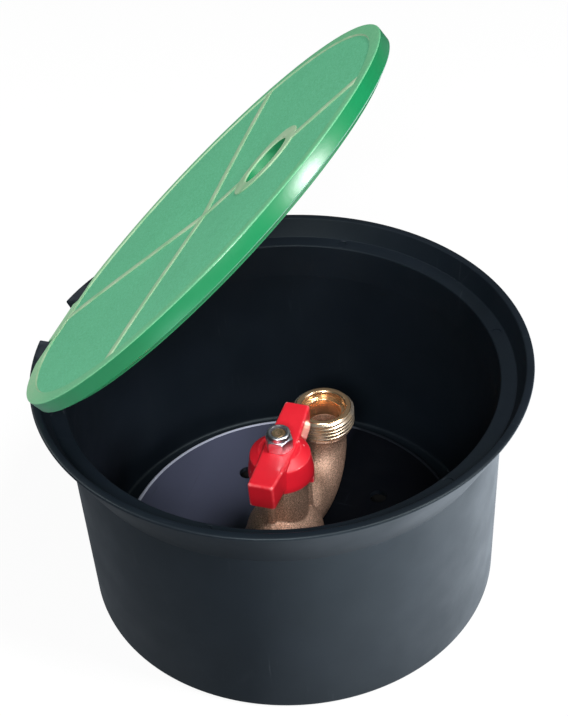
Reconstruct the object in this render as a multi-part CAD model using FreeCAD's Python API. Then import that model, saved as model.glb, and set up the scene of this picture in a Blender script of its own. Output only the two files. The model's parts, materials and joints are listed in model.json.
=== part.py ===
import FreeCAD, Part
import math
import os

Vector = FreeCAD.Vector

# Garden hydrant: a round valve box with a hinged lid, and a brass ball valve inside it
# whose spout ends in an upright hose thread. Millimetres, +Z up. The origin is the box's
# axis at ground level, -X is the hinge side and +Y is the way the water flows.

# Box shell
box_height = 110.0
rim_radius = 100.0
rim_lip = 3.7
recess_depth = 8.0
ledge_width = 6.5
neck_drop = 23.5
neck_inset = 12.0
foot_taper = 1.5
wall = 2.8
soft_edge = 0.8
foot_round = 2.0
ledge_mark_radius = 2.0
ledge_mark_depth = 0.3
ledge_mark_count = 6

# Box floor
floor_level = 10.0
gutter_width = 12.5
floor_thick = 2.5
floor_round = 1.6
gutter_thick = 3.0
drain_radius = 3.8
drain_inset = 30.5
drain_count = 4
hub_radius = 8.0
rib_thick = 2.0
rib_lift = 0.5

# Hinge
hinge_inset = 6.8
hinge_drop = 2.8
pin_radius = 1.25
pin_clearance = 0.1
ear_width = 10.4
ear_cover = 2.5
knuckle_radius = 2.7
knuckle_half = 13.1
knuckle_gap = 0.5
notch_floor_gap = 1.6

# Lid
lid_open_angle = 45.0
lid_gap = 1.8
lid_depth = 6.0
lid_taper = 1.5
lid_plate = 2.4
lid_skirt = 2.2
lid_relief = 0.6
lid_border = 5.6
lid_hinge_flat = 4.2
lid_seat_gap = 0.25
lid_rib = 1.6
lid_rib_gap = 0.6
lid_rib_count = 8
lid_ring_rib = 1.9
lid_cross_width = 1.8
lid_cross_rise = 0.5
finger_radius = 10.8
finger_inset = 56.1
finger_ring = 7.6
finger_collar = 1.8

# Place of the valve and of the supply below it
valve_x = 2.5
supply_inset = 19.0

# Ball and seats
ball_radius = 11.5
ball_gap = 0.9
bore_share = 0.652
ball_fit = 0.03
seat_share = 0.47
seat_length = 3.5
seat_step = 0.4
body_wall = 4.1
body_gap = 0.5
chamber_gap = 0.2
seal_section = 0.9

# Stem
stem_radius = 4.0
stem_fit = 0.06
stem_collar_radius = 6.0
stem_collar = 2.5
tang_thick = 3.9
tang_width = 9.0
tang_depth = 3.2
tang_fit = 0.05
thrust_thick = 1.0
ring_section = 0.7
ring_height = 50.5
flat_width = 6.2
thread_m6 = 3.0

# Neck, packing and gland
neck_outer = 10.3
neck_top = 65.0
packing_radius = 6.35
packing_bottom = 56.0
packing_height = 4.0
gland_head = 3.0
gland_flats = 15.0
stop_proud = 2.4
stop_width = 3.4
stop_top_gap = 1.0
stop_spare = 1.5
tab_angle = 15.0

# Handle
handle_top = 76.0
handle_deck = 5.0
handle_half = 25.6
handle_mid_width = 13.2
handle_end_width = 10.6
handle_end_rise = 1.6
handle_end_height = 12.8
handle_round = 1.1
skirt_radius = 13.5
skirt_drop = 14.4
skirt_wall = 2.0
skirt_straight = 2.6
hub_top_radius = 8.6
shoulder_radius = 12.4
shoulder_drop = 3.8
tab_drop = 4.0
tab_width = 5.0
tab_inner = 11.2

# Handle nut
nut_flats = 10.0
nut_hex_height = 5.4
nut_collar_radius = 4.75
nut_height = 8.0
nut_lip = 0.4
insert_radius = 4.1
insert_height = 1.7

# Spout and hose thread
spout_turn = -6.5
spout_reach = 44.4
spout_top = 61.0
spout_bend = 17.4
spout_root_radius = 12.2
spout_bend_share = 0.35
spout_tip_radius = 9.5
outlet_bore = 9.4
outlet_step = 3.2
thread_34 = 13.22
thread_34_depth = 1.16
thread_34_pitch = 1.814
thread_34_flat = 0.3
thread_34_crest = 0.22
hose_turns = 5
thread_run_in = 0.8
thread_run_out = 1.2
spout_cone = 3.0

# Inlet elbow, its thread through the floor and what clamps it there
inlet_boss_step = 0.5
inlet_boss_length = 19.0
elbow_hex_gap = 1.4
elbow_hex = 5.0
elbow_reach = 37.0
elbow_radius = 11.6
elbow_bore = 8.0
flange_radius = 17.5
flange_thick = 3.0
gasket_thick = 2.0
washer_thick = 1.0
backnut_flats = 34.0
backnut_thick = 5.0
backnut_gap = 0.1
shank_lift = 0.8
hole_fit = 0.4
supply_bore = 9.32
supply_depth = 12.0
screw_fit = 0.05

# Places worked out from the sizes above
neck_radius = rim_radius - neck_inset
foot_radius = neck_radius - foot_taper
floor_radius = foot_radius - gutter_width
drain_circle = floor_radius - drain_inset
flare_slope = neck_inset / neck_drop
ledge_level = box_height - recess_depth
neck_level = box_height - neck_drop
recess_radius = rim_radius - rim_lip
recess_foot = rim_radius - flare_slope * recess_depth - wall
ledge_radius = recess_foot - ledge_width
floor_under = floor_level - floor_thick
under_radius = floor_radius - floor_thick
hinge_x = hinge_inset - rim_radius
hinge_z = box_height - hinge_drop
ear_inner_x = hinge_x + ear_cover
ear_start = knuckle_half + knuckle_gap
ear_end = ear_start + ear_width
lid_radius = recess_radius - lid_gap
lid_field = box_height - lid_relief
lid_under = lid_field - lid_plate
lid_bottom = box_height - lid_depth
lid_flat_x = hinge_x + lid_hinge_flat
finger_x = lid_radius - finger_inset
chamber_bore = ball_radius + ball_gap
chamber_radius = chamber_bore + body_wall
flow_height = floor_level + body_gap + chamber_radius
ball_bore = ball_radius * bore_share
spout_bore = ball_bore
seat_bore = ball_bore + seat_step
seat_start = ball_radius * seat_share
inlet_boss = chamber_radius - inlet_boss_step
elbow_flats = math.sqrt(3.0) * (flow_height - floor_level - elbow_hex_gap)
seat_end = seat_start + seat_length
deck_under = handle_top - handle_deck
skirt_bottom = handle_top - skirt_drop
nut_top = handle_top + nut_height
collar_bottom = flow_height + chamber_bore + 0.1
collar_top = collar_bottom + stem_collar
thrust_top = collar_top + thrust_thick
roof_level = thrust_top + 0.1
thread_length = hose_turns * thread_34_pitch
thread_bottom = spout_top - thread_run_in - thread_length
core_bottom = thread_bottom - thread_run_out
thread_root = thread_34 - thread_34_depth
supply_x = valve_x
supply_y = supply_inset - under_radius
elbow_y = -elbow_reach
valve_y = supply_y + elbow_reach
flange_bottom = floor_level + gasket_thick
flange_top = flange_bottom + flange_thick
inlet_hole = thread_34 + hole_fit


def corner_arcs(points):
    """Closed wire through (a, b, radius) corners, each rounded by its own radius."""
    starts = []
    ends = []
    mids = []
    count = len(points)
    for i in range(count):
        before = Vector(points[i - 1][0], 0, points[i - 1][1])
        here = Vector(points[i][0], 0, points[i][1])
        after = Vector(points[(i + 1) % count][0], 0, points[(i + 1) % count][1])
        radius = points[i][2]
        to_before = (before - here).normalize()
        to_after = (after - here).normalize()
        half = to_before.getAngle(to_after) / 2.0
        if radius == 0:
            starts.append(here)
            ends.append(here)
            mids.append(None)
            continue
        reach = radius / math.tan(half)
        bisector = (to_before + to_after).normalize()
        centre = here + bisector * (radius / math.sin(half))
        starts.append(here + to_before * reach)
        ends.append(here + to_after * reach)
        mids.append(centre - bisector * radius)
    edges = []
    for i in range(count):
        if mids[i] is not None:
            edges.append(Part.Arc(starts[i], mids[i], ends[i]).toShape())
        following = starts[(i + 1) % count]
        if (following - ends[i]).Length > 1e-6:
            edges.append(Part.LineSegment(ends[i], following).toShape())
    return Part.Wire(edges)


def turned(points):
    """Solid turned about the Z axis from an outline of (radius, height, rounding)."""
    face = Part.Face(corner_arcs(points))
    solid = face.revolve(Vector(0, 0, 0), Vector(0, 0, 1), 360)
    return solid


def disc(radius, bottom, top):
    return Part.makeCylinder(radius, top - bottom, Vector(0, 0, bottom))


def ring(outer, inner, bottom, top):
    return disc(outer, bottom, top).cut(disc(inner, bottom - 1, top + 1))


def rod_y(radius, start, end, height):
    """Cylinder along Y at the given height."""
    return Part.makeCylinder(radius, end - start, Vector(0, start, height), Vector(0, 1, 0))


def block(x0, x1, y0, y1, z0, z1):
    return Part.makeBox(x1 - x0, y1 - y0, z1 - z0, Vector(x0, y0, z0))


def hex_prism(flats, bottom, top):
    radius = flats / math.sqrt(3.0)
    corners = []
    for i in range(7):
        angle = math.radians(60 * i)
        corners.append(Vector(radius * math.cos(angle), radius * math.sin(angle), bottom))
    face = Part.Face(Part.makePolygon(corners))
    return face.extrude(Vector(0, 0, top - bottom))


def hex_chamfered(flats, bottom, top, both):
    """Hexagon with its corners turned off, as on a nut."""
    prism = hex_prism(flats, bottom, top)
    corner = flats / math.sqrt(3.0)
    bevel = (corner - flats / 2.0) * 0.6
    low = bevel if both else 0.0
    outline = [(0, bottom, 0), (flats / 2.0, bottom, 0), (corner + 0.01, bottom + low, 0),
               (corner + 0.01, top - bevel, 0), (flats / 2.0, top, 0), (0, top, 0)]
    if not both:
        outline = [(0, bottom, 0), (corner + 0.01, bottom, 0),
                   (corner + 0.01, top - bevel, 0), (flats / 2.0, top, 0), (0, top, 0)]
    return prism.common(turned(outline))


def spun(shape, degrees):
    """Copy turned about the Z axis."""
    copy = shape.copy()
    copy.rotate(Vector(0, 0, 0), Vector(0, 0, 1), degrees)
    return copy


def moved(shape, x, y):
    copy = shape.copy()
    copy.translate(Vector(x, y, 0))
    return copy


def at_valve(shape):
    return moved(shape, valve_x, valve_y)


def thread_grooves(bottom, turns):
    """Rings to cut from a full-diameter core, one V groove for each thread turn."""
    grooves = []
    for i in range(turns):
        low = bottom + i * thread_34_pitch
        middle = low + thread_34_pitch / 2.0
        mouth = (thread_34_pitch - thread_34_crest) / 2.0
        floor = thread_34_flat / 2.0
        outline = [(thread_34 + 0.01, middle - mouth, 0), (thread_root, middle - floor, 0),
                   (thread_root, middle + floor, 0), (thread_34 + 0.01, middle + mouth, 0)]
        grooves.append(turned(outline))
    return grooves


def make_box():
    outline = [
        (0, floor_under, 0), (under_radius, floor_under, 0), (under_radius, 0, 0),
        (foot_radius, 0, foot_round), (neck_radius, neck_level, 0.6),
        (rim_radius, box_height, soft_edge), (recess_radius, box_height, soft_edge),
        (recess_foot, ledge_level, 0.5),
        (ledge_radius, ledge_level, soft_edge), (neck_radius - wall, neck_level, 2.0),
        (foot_radius - wall, gutter_thick, 1.5), (floor_radius + 1.0, gutter_thick, 1.0),
        (floor_radius, floor_level, floor_round), (0, floor_level, 0)]
    shell = turned(outline)
    hub = disc(hub_radius, 0, floor_under + 0.5)
    additions = [hub]
    for i in range(3):
        rib = block(hub_radius - 1, under_radius + 0.5, -rib_thick / 2, rib_thick / 2,
                    rib_lift, floor_under + 0.5)
        additions.append(spun(rib, 90 * i))
    flare = turned([(0, neck_level, 0), (neck_radius, neck_level, 0),
                    (rim_radius, box_height, soft_edge), (0, box_height, 0)])
    ears = block(-rim_radius, ear_inner_x, -ear_end, ear_end, ledge_level - 0.5, box_height)
    additions.append(ears.common(flare))
    shell = shell.fuse(additions)
    notch_floor = hinge_z - knuckle_radius - notch_floor_gap
    cuts = [block(-rim_radius - 1, ledge_radius * -1, -ear_start, ear_start,
                  notch_floor, box_height + 1)]
    pin_bore = rod_y(pin_radius, -ear_end - 1, ear_end + 1, hinge_z)
    pin_bore.translate(Vector(hinge_x, 0, 0))
    cuts.append(pin_bore)
    for i in range(drain_count):
        angle = 360.0 / drain_count * (i + 0.5)
        drain = moved(disc(drain_radius, -1, floor_level + 1), drain_circle, 0)
        cuts.append(spun(drain, angle))
    cuts.append(moved(disc(inlet_hole, -1, floor_level + 1), supply_x, supply_y))
    for i in range(ledge_mark_count):
        mark = moved(disc(ledge_mark_radius, ledge_level - ledge_mark_depth, ledge_level + 1),
                     ledge_radius + ledge_width / 2, 0)
        cuts.append(spun(mark, 360.0 / ledge_mark_count * (i + 0.5)))
    return shell.cut(cuts)


def make_hinge_pin():
    pin = rod_y(pin_radius, -ear_end, ear_end, hinge_z)
    pin.translate(Vector(hinge_x, 0, 0))
    return pin


def open_lid(shape):
    """Turn a closed lid piece about the hinge to where it stands open."""
    copy = shape.copy()
    copy.rotate(Vector(hinge_x, 0, hinge_z), Vector(0, -1, 0), lid_open_angle)
    return copy


def make_lid():
    border_inner = lid_radius - lid_border
    outline = [
        (0, lid_under, 0), (0, lid_field, 0), (border_inner, lid_field, 0),
        (border_inner + 0.3, box_height, 0), (lid_radius, box_height, soft_edge),
        (lid_radius - lid_taper, lid_bottom, 0.4),
        (lid_radius - lid_taper - lid_skirt, lid_bottom, 0.4),
        (lid_radius - lid_skirt - 0.4, lid_under, 0)]
    body = turned(outline)
    ring_outer = ledge_radius + ledge_width / 2
    ring_rib = ring(ring_outer, ring_outer - lid_ring_rib, ledge_level + lid_seat_gap, lid_under + 0.5)
    rib_bottom = lid_bottom + lid_rib_gap
    pieces = [ring_rib]
    for i in range(lid_rib_count):
        rib = block(0, ring_outer - 0.5, -lid_rib / 2, lid_rib / 2, rib_bottom, lid_under + 0.5)
        pieces.append(spun(rib, 360.0 / lid_rib_count * i))
    cross_top = lid_field + lid_cross_rise
    half = lid_cross_width / 2
    pieces.append(block(-border_inner, border_inner, -half, half, lid_under + 0.5, cross_top))
    pieces.append(block(-half, half, -border_inner, border_inner, lid_under + 0.5, cross_top))
    pieces.append(moved(disc(finger_radius + finger_ring, lid_under + 0.5, cross_top), finger_x, 0))
    pieces.append(moved(disc(finger_radius + finger_collar, rib_bottom, lid_under + 0.5), finger_x, 0))
    body = body.fuse(pieces)
    flat_half = math.sqrt(lid_radius ** 2 - lid_flat_x ** 2)
    body = body.cut(block(-lid_radius - 1, lid_flat_x, -lid_radius, lid_radius, 0, box_height + 1))
    back_wall = block(lid_flat_x, lid_flat_x + lid_skirt, -flat_half, flat_half, lid_bottom, lid_field)
    blank = turned([(0, lid_bottom, 0), (lid_radius - lid_taper, lid_bottom, 0.4),
                    (lid_radius, box_height, soft_edge), (0, box_height, 0)])
    back_wall = back_wall.common(blank)
    web_bottom = hinge_z - knuckle_radius
    web = block(hinge_x, lid_flat_x + lid_skirt, -knuckle_half, knuckle_half,
                web_bottom, hinge_z + knuckle_radius)
    knuckle = rod_y(knuckle_radius, -knuckle_half, knuckle_half, hinge_z)
    knuckle.translate(Vector(hinge_x, 0, 0))
    body = body.fuse([back_wall, web, knuckle])
    bore = rod_y(pin_radius + pin_clearance, -knuckle_half - 1, knuckle_half + 1, hinge_z)
    bore.translate(Vector(hinge_x, 0, 0))
    finger = moved(disc(finger_radius, lid_bottom - 1, box_height + 1), finger_x, 0)
    body = body.cut([bore, finger])
    return open_lid(body)


def ball_sphere(radius):
    return Part.makeSphere(radius, Vector(0, 0, flow_height))


def make_ball():
    ball = ball_sphere(ball_radius)
    bore = rod_y(ball_bore, -ball_radius - 1, ball_radius + 1, flow_height)
    slot = block(-ball_radius, ball_radius, -tang_thick / 2 - tang_fit, tang_thick / 2 + tang_fit,
                 flow_height + ball_radius - tang_depth, flow_height + ball_radius + 1)
    return at_valve(ball.cut([bore, slot]))


def make_seat(side):
    """Plastic ring between the ball and its shoulder; side is -1 at the inlet, 1 at the outlet."""
    start = min(side * seat_start, side * seat_end)
    end = max(side * seat_start, side * seat_end)
    body = rod_y(chamber_bore - screw_fit, start, end, flow_height)
    hole = rod_y(seat_bore, start - 1, end + 1, flow_height)
    return at_valve(body.cut([hole, ball_sphere(ball_radius + ball_fit)]))


def arm_sections(root_radius, tip_radius):
    """Circles along the spout's centre line: level, round the bend, then upright."""
    wires = []
    bend_start = spout_reach - spout_bend
    stations = [(0.0, flow_height, 0.0, 0.0), (bend_start, flow_height, 0.0, spout_bend_share)]
    steps = 4
    for i in range(1, steps + 1):
        turn = 90.0 * i / steps
        reach = bend_start + spout_bend * math.sin(math.radians(turn))
        height = flow_height + spout_bend * (1 - math.cos(math.radians(turn)))
        share = spout_bend_share + (1.0 - spout_bend_share) * i / steps
        stations.append((reach, height, turn, share))
    for reach, height, turn, share in stations:
        radius = root_radius + (tip_radius - root_radius) * share
        lean = math.radians(turn)
        circle = Part.makeCircle(radius, Vector(0, reach, height),
                                 Vector(0, math.cos(lean), math.sin(lean)))
        wires.append(Part.Wire(circle))
    return wires


def make_valve_body():
    bend_top = flow_height + spout_bend
    chamber = ball_sphere(chamber_radius)
    boss = rod_y(inlet_boss, -inlet_boss_length, 0, flow_height)
    neck = turned([(0, flow_height, 0), (neck_outer, flow_height, 0),
                   (neck_outer, neck_top, soft_edge), (0, neck_top, 0)])
    arm = Part.makeLoft(arm_sections(spout_root_radius, spout_tip_radius), True)
    stack = turned([
        (0, bend_top, 0), (spout_tip_radius, bend_top, 0),
        (spout_tip_radius, core_bottom - spout_cone, 2.0), (thread_root, core_bottom, 0),
        (thread_root, thread_bottom - 2 * thread_34_crest, 0),
        (thread_34, thread_bottom - thread_34_crest, 0),
        (thread_34, spout_top - thread_run_in, 0), (thread_root, spout_top, 0), (0, spout_top, 0)])
    stack = stack.cut(thread_grooves(thread_bottom, hose_turns))
    stack.translate(Vector(0, spout_reach, 0))
    spout = spun(arm.fuse(stack), spout_turn)
    body = chamber.fuse([boss, neck, spout])
    lug_outer = neck_outer + stop_proud
    for angle in (stop_angle(1), stop_angle(-1)):
        lug = block(neck_outer - 1, lug_outer, -stop_width / 2, stop_width / 2,
                    flow_height, skirt_bottom - stop_top_gap)
        body = body.fuse(spun(lug, angle))
    passage = Part.makeLoft(arm_sections(spout_bore, spout_bore), True)
    riser = disc(spout_bore, bend_top, spout_top + 1)
    mouth = disc(outlet_bore, spout_top - outlet_step, spout_top + 1)
    for cutter in (riser, mouth):
        cutter.translate(Vector(0, spout_reach, 0))
    cuts = [spun(passage, spout_turn), spun(riser, spout_turn), spun(mouth, spout_turn)]
    cuts.append(rod_y(chamber_bore, -inlet_boss_length - 1, seat_end, flow_height))
    cuts.append(ball_sphere(ball_radius + chamber_gap))
    seal_depth = 2 * seal_section + 0.1
    cuts.append(rod_y(chamber_bore + seal_depth + 0.1, -inlet_boss_length - 1,
                      -inlet_boss_length + seal_depth, flow_height))
    cuts.append(disc(stem_collar_radius + chamber_gap, flow_height, roof_level))
    cuts.append(disc(stem_radius + stem_fit, flow_height, neck_top + 1))
    cuts.append(disc(packing_radius + screw_fit, packing_bottom, neck_top + 1))
    return at_valve(body.cut(cuts))


def stop_angle(side):
    """Angle of a stop lug: 1 is the open stop and -1 the closed one, a quarter turn on."""
    tab_half = math.degrees(math.asin(tab_width / 2 / tab_inner))
    lug_half = math.degrees(math.asin(stop_width / 2 / tab_inner))
    offset = tab_half + lug_half + stop_spare
    if side > 0:
        return tab_angle + offset
    return tab_angle - 90.0 - offset


def make_stem():
    tang = block(-tang_width / 2, tang_width / 2, -tang_thick / 2, tang_thick / 2,
                 flow_height + ball_radius - tang_depth + tang_fit, collar_bottom + 0.2)
    tang = tang.common(disc(stem_collar_radius, 0, handle_top))
    groove_depth = 2 * ring_section
    outline = [
        (0, collar_bottom, 0), (stem_collar_radius, collar_bottom, 0), (stem_collar_radius, collar_top, 0),
        (stem_radius, collar_top, 0), (stem_radius, ring_height - ring_section - 0.1, 0),
        (stem_radius - groove_depth, ring_height - ring_section - 0.1, 0),
        (stem_radius - groove_depth, ring_height + ring_section + 0.1, 0),
        (stem_radius, ring_height + ring_section + 0.1, 0), (stem_radius, handle_top - 0.2, 0),
        (thread_m6, handle_top - 0.2, 0), (thread_m6, nut_top - 1.2, 0),
        (thread_m6 - 0.5, nut_top - 0.7, 0), (0, nut_top - 0.7, 0)]
    shaft = turned(outline)
    cheek = block(flat_width / 2, stem_radius + 1, -stem_radius - 1, stem_radius + 1,
                  deck_under, handle_top - 0.1)
    shaft = shaft.cut([cheek, spun(cheek, 180)])
    return at_valve(shaft.fuse(tang))


def make_thrust_washer():
    return at_valve(ring(stem_collar_radius, stem_radius + stem_fit, collar_top + 0.02, thrust_top))


def make_stem_ring():
    middle = stem_radius - ring_section + 0.02
    return at_valve(Part.makeTorus(middle, ring_section, Vector(0, 0, ring_height)))


def make_packing():
    return at_valve(ring(packing_radius, stem_radius + stem_fit, packing_bottom + 0.02,
                         packing_bottom + packing_height))


def make_gland_nut():
    body = disc(packing_radius, packing_bottom + packing_height + 0.02, neck_top + 0.5)
    head = hex_chamfered(gland_flats, neck_top + 0.02, neck_top + gland_head, False)
    hole = disc(stem_radius + stem_fit, packing_bottom, neck_top + gland_head + 1)
    return at_valve(body.fuse(head).cut(hole))


def make_handle():
    side = Part.Face(Part.makePolygon([
        Vector(0, -handle_half, handle_top + handle_end_rise),
        Vector(0, -hub_top_radius, handle_top),
        Vector(0, hub_top_radius, handle_top),
        Vector(0, handle_half, handle_top + handle_end_rise),
        Vector(0, handle_half - 0.8, handle_top + handle_end_rise - handle_end_height),
        Vector(0, hub_top_radius, skirt_bottom + skirt_straight),
        Vector(0, -hub_top_radius, skirt_bottom + skirt_straight),
        Vector(0, -handle_half + 0.8, handle_top + handle_end_rise - handle_end_height),
        Vector(0, -handle_half, handle_top + handle_end_rise)]))
    side.translate(Vector(-skirt_radius, 0, 0))
    side = side.extrude(Vector(2 * skirt_radius, 0, 0))
    mid = handle_mid_width / 2
    end = handle_end_width / 2
    plan = Part.Face(Part.makePolygon([
        Vector(-mid, 0, 0), Vector(-end, -handle_half - 1, 0), Vector(end, -handle_half - 1, 0),
        Vector(mid, 0, 0), Vector(end, handle_half + 1, 0), Vector(-end, handle_half + 1, 0),
        Vector(-mid, 0, 0)]))
    plan = plan.extrude(Vector(0, 0, 2 * handle_top))
    bar = side.common(plan)
    bar = bar.makeFillet(handle_round, bar.Edges)
    hub = turned([
        (0, skirt_bottom, 0), (skirt_radius, skirt_bottom, 0.6),
        (skirt_radius, skirt_bottom + skirt_straight, 1.5),
        (shoulder_radius, handle_top - shoulder_drop, 0.9), (hub_top_radius, handle_top - 1.0, 1.0),
        (0, handle_top - 1.0, 0)])
    tab_half = tab_width / 2
    tab = block(0, skirt_radius, -tab_half, tab_half, skirt_bottom - tab_drop, skirt_bottom + 2)
    tab = spun(tab, tab_angle)
    inner = skirt_radius - skirt_wall
    tab = tab.common(disc(skirt_radius, 0, handle_top)).cut(disc(tab_inner, 0, handle_top))
    body = bar.fuse([hub, tab])
    hollow = turned([(0, skirt_bottom - 1, 0), (inner, skirt_bottom - 1, 0),
                     (inner, skirt_bottom + skirt_straight, 1.0),
                     (gland_flats / math.sqrt(3.0) + 1.0, deck_under, 0.5), (0, deck_under, 0)])
    hole = disc(stem_radius + screw_fit, deck_under - 1, handle_top + 1)
    keep = block(-flat_width / 2 - screw_fit, flat_width / 2 + screw_fit, -stem_radius - 1, stem_radius + 1,
                 deck_under - 1, handle_top + 1)
    return at_valve(body.cut([hollow, hole.common(keep)]))


def make_handle_nut():
    hexagon = hex_chamfered(nut_flats, handle_top + 0.02, handle_top + nut_hex_height, False)
    collar = turned([(0, handle_top + nut_hex_height - 1, 0),
                     (nut_collar_radius, handle_top + nut_hex_height - 1, 0),
                     (nut_collar_radius, nut_top, 0.7), (0, nut_top, 0)])
    hole = disc(thread_m6 + screw_fit, handle_top - 1, nut_top + 1)
    pocket = disc(insert_radius + 0.02, nut_top - nut_lip - insert_height, nut_top - nut_lip)
    mouth = disc(thread_m6 + 0.6, nut_top - nut_lip - 0.1, nut_top + 1)
    return at_valve(hexagon.fuse(collar).cut([hole, pocket, mouth]))


def make_nut_insert():
    top = nut_top - nut_lip - 0.02
    return at_valve(ring(insert_radius, thread_m6 + 0.02, top - insert_height + 0.04, top))


def make_inlet_elbow():
    spigot = rod_y(chamber_bore - screw_fit, -inlet_boss_length - 0.5, -seat_end - screw_fit, flow_height)
    hexagon = hex_chamfered(elbow_flats, 0, elbow_hex, True)
    hexagon.rotate(Vector(0, 0, 0), Vector(1, 0, 0), 90)
    hexagon.translate(Vector(0, -inlet_boss_length - screw_fit, flow_height))
    level = rod_y(elbow_radius, elbow_y, -inlet_boss_length - 1, flow_height)
    knee = Part.makeSphere(elbow_radius, Vector(0, elbow_y, flow_height))
    drop = moved(disc(elbow_radius, flange_bottom + 0.5, flow_height), 0, elbow_y)
    flange = turned([(0, flange_bottom, 0), (flange_radius, flange_bottom, 0),
                     (flange_radius, flange_top, 0.6), (0, flange_top, 0)])
    shank = turned([(0, shank_lift, 0), (thread_root, shank_lift, 0), (thread_34, shank_lift + 1.0, 0),
                    (thread_34, flange_bottom + 0.5, 0), (0, flange_bottom + 0.5, 0)])
    body = spigot.fuse([hexagon, level, knee, drop, moved(flange, 0, elbow_y), moved(shank, 0, elbow_y)])
    cuts = [rod_y(elbow_bore, elbow_y, 0, flow_height),
            Part.makeSphere(elbow_bore, Vector(0, elbow_y, flow_height)),
            moved(disc(elbow_bore, 0, flow_height), 0, elbow_y),
            moved(disc(supply_bore, -1, shank_lift + supply_depth), 0, elbow_y)]
    return at_valve(body.cut(cuts))


def make_body_seal():
    """O-ring in the corner between the elbow's hexagon and the body's mouth."""
    seal = Part.makeTorus(chamber_bore + seal_section + 0.1, seal_section, Vector(0, 0, 0))
    seal.rotate(Vector(0, 0, 0), Vector(1, 0, 0), 90)
    seal.translate(Vector(0, -inlet_boss_length + seal_section + 0.02, flow_height))
    return at_valve(seal)


def at_supply(shape):
    return moved(shape, supply_x, supply_y)


def make_floor_gasket():
    return at_supply(ring(flange_radius - 0.3, inlet_hole, floor_level, flange_bottom))


def make_floor_washer():
    return at_supply(ring(flange_radius, inlet_hole, floor_under - washer_thick, floor_under))


def make_backnut():
    top = floor_under - washer_thick
    nut = hex_chamfered(backnut_flats, 0, backnut_thick, True)
    nut.translate(Vector(0, 0, top - backnut_thick))
    return at_supply(nut.cut(disc(thread_34 + screw_fit, -1, top + 1)))


def save(name, shape):
    solid = shape.removeSplitter()
    if not solid.isValid() or len(solid.Solids) == 0:
        raise ValueError(name + " isn't a sound solid")
    if len(solid.Solids) == 1:
        solid = solid.Solids[0]
    solid.exportStep("parts/" + name + ".step")
    low = solid.BoundBox
    print(name, len(solid.Solids), "solid", round(solid.Volume), "mm3, box",
          [round(v, 1) for v in (low.XMin, low.YMin, low.ZMin, low.XMax, low.YMax, low.ZMax)])


os.makedirs("parts", exist_ok=True)

save("box", make_box())
save("hinge_pin", make_hinge_pin())
save("lid", make_lid())
save("valve_body", make_valve_body())
save("inlet_elbow", make_inlet_elbow())
save("body_seal", make_body_seal())
save("ball", make_ball())
save("inlet_seat", make_seat(-1))
save("outlet_seat", make_seat(1))
save("stem", make_stem())
save("thrust_washer", make_thrust_washer())
save("stem_o_ring", make_stem_ring())
save("packing_ring", make_packing())
save("gland_nut", make_gland_nut())
save("handle", make_handle())
save("handle_nut", make_handle_nut())
save("nut_insert", make_nut_insert())
save("floor_gasket", make_floor_gasket())
save("floor_washer", make_floor_washer())
save("backnut", make_backnut())
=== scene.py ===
import bmesh
import bpy
import json
import math
from mathutils import Matrix, Vector

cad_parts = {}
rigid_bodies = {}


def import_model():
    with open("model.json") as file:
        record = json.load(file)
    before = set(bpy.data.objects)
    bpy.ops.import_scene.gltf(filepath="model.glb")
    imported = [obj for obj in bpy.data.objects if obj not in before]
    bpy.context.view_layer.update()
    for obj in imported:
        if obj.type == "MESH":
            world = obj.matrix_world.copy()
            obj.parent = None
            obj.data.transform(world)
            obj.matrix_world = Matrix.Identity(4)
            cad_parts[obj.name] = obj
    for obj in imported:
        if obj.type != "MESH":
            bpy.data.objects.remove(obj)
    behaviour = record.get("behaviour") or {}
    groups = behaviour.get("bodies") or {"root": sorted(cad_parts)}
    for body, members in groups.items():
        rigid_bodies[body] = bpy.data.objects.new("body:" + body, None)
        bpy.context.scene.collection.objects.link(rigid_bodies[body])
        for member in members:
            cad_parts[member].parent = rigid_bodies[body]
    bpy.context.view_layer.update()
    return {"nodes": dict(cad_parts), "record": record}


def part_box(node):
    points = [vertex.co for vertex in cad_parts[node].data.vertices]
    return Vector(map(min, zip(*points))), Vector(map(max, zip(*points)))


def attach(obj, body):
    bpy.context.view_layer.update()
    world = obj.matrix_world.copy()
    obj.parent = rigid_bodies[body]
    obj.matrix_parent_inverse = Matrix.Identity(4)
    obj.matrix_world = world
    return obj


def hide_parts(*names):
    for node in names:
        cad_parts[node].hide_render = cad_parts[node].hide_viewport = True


# Garden hydrant: a round black valve box with its green lid half open, and inside it a brass
# ball valve with a red handle and an upright threaded outlet.
# The pieces' settings are in millimetres, meshes in metres. +Z is up and -X is the hinge side.

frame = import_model()
mm = 0.001
overlap = 0.5  # joined shapes reach this far into each other
past = 1.0  # and cutters this far past what they cut
print("frame loaded:", len(frame["nodes"]), "solids")


# Mesh helpers

def link(name, mesh):
    obj = bpy.data.objects.new(name, mesh)
    bpy.context.scene.collection.objects.link(obj)
    return obj


def linkMesh(name, mesh):
    # an edited mesh becomes an object of its own
    data = bpy.data.meshes.new(name)
    mesh.to_mesh(data)
    mesh.free()
    return link(name, data)


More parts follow.
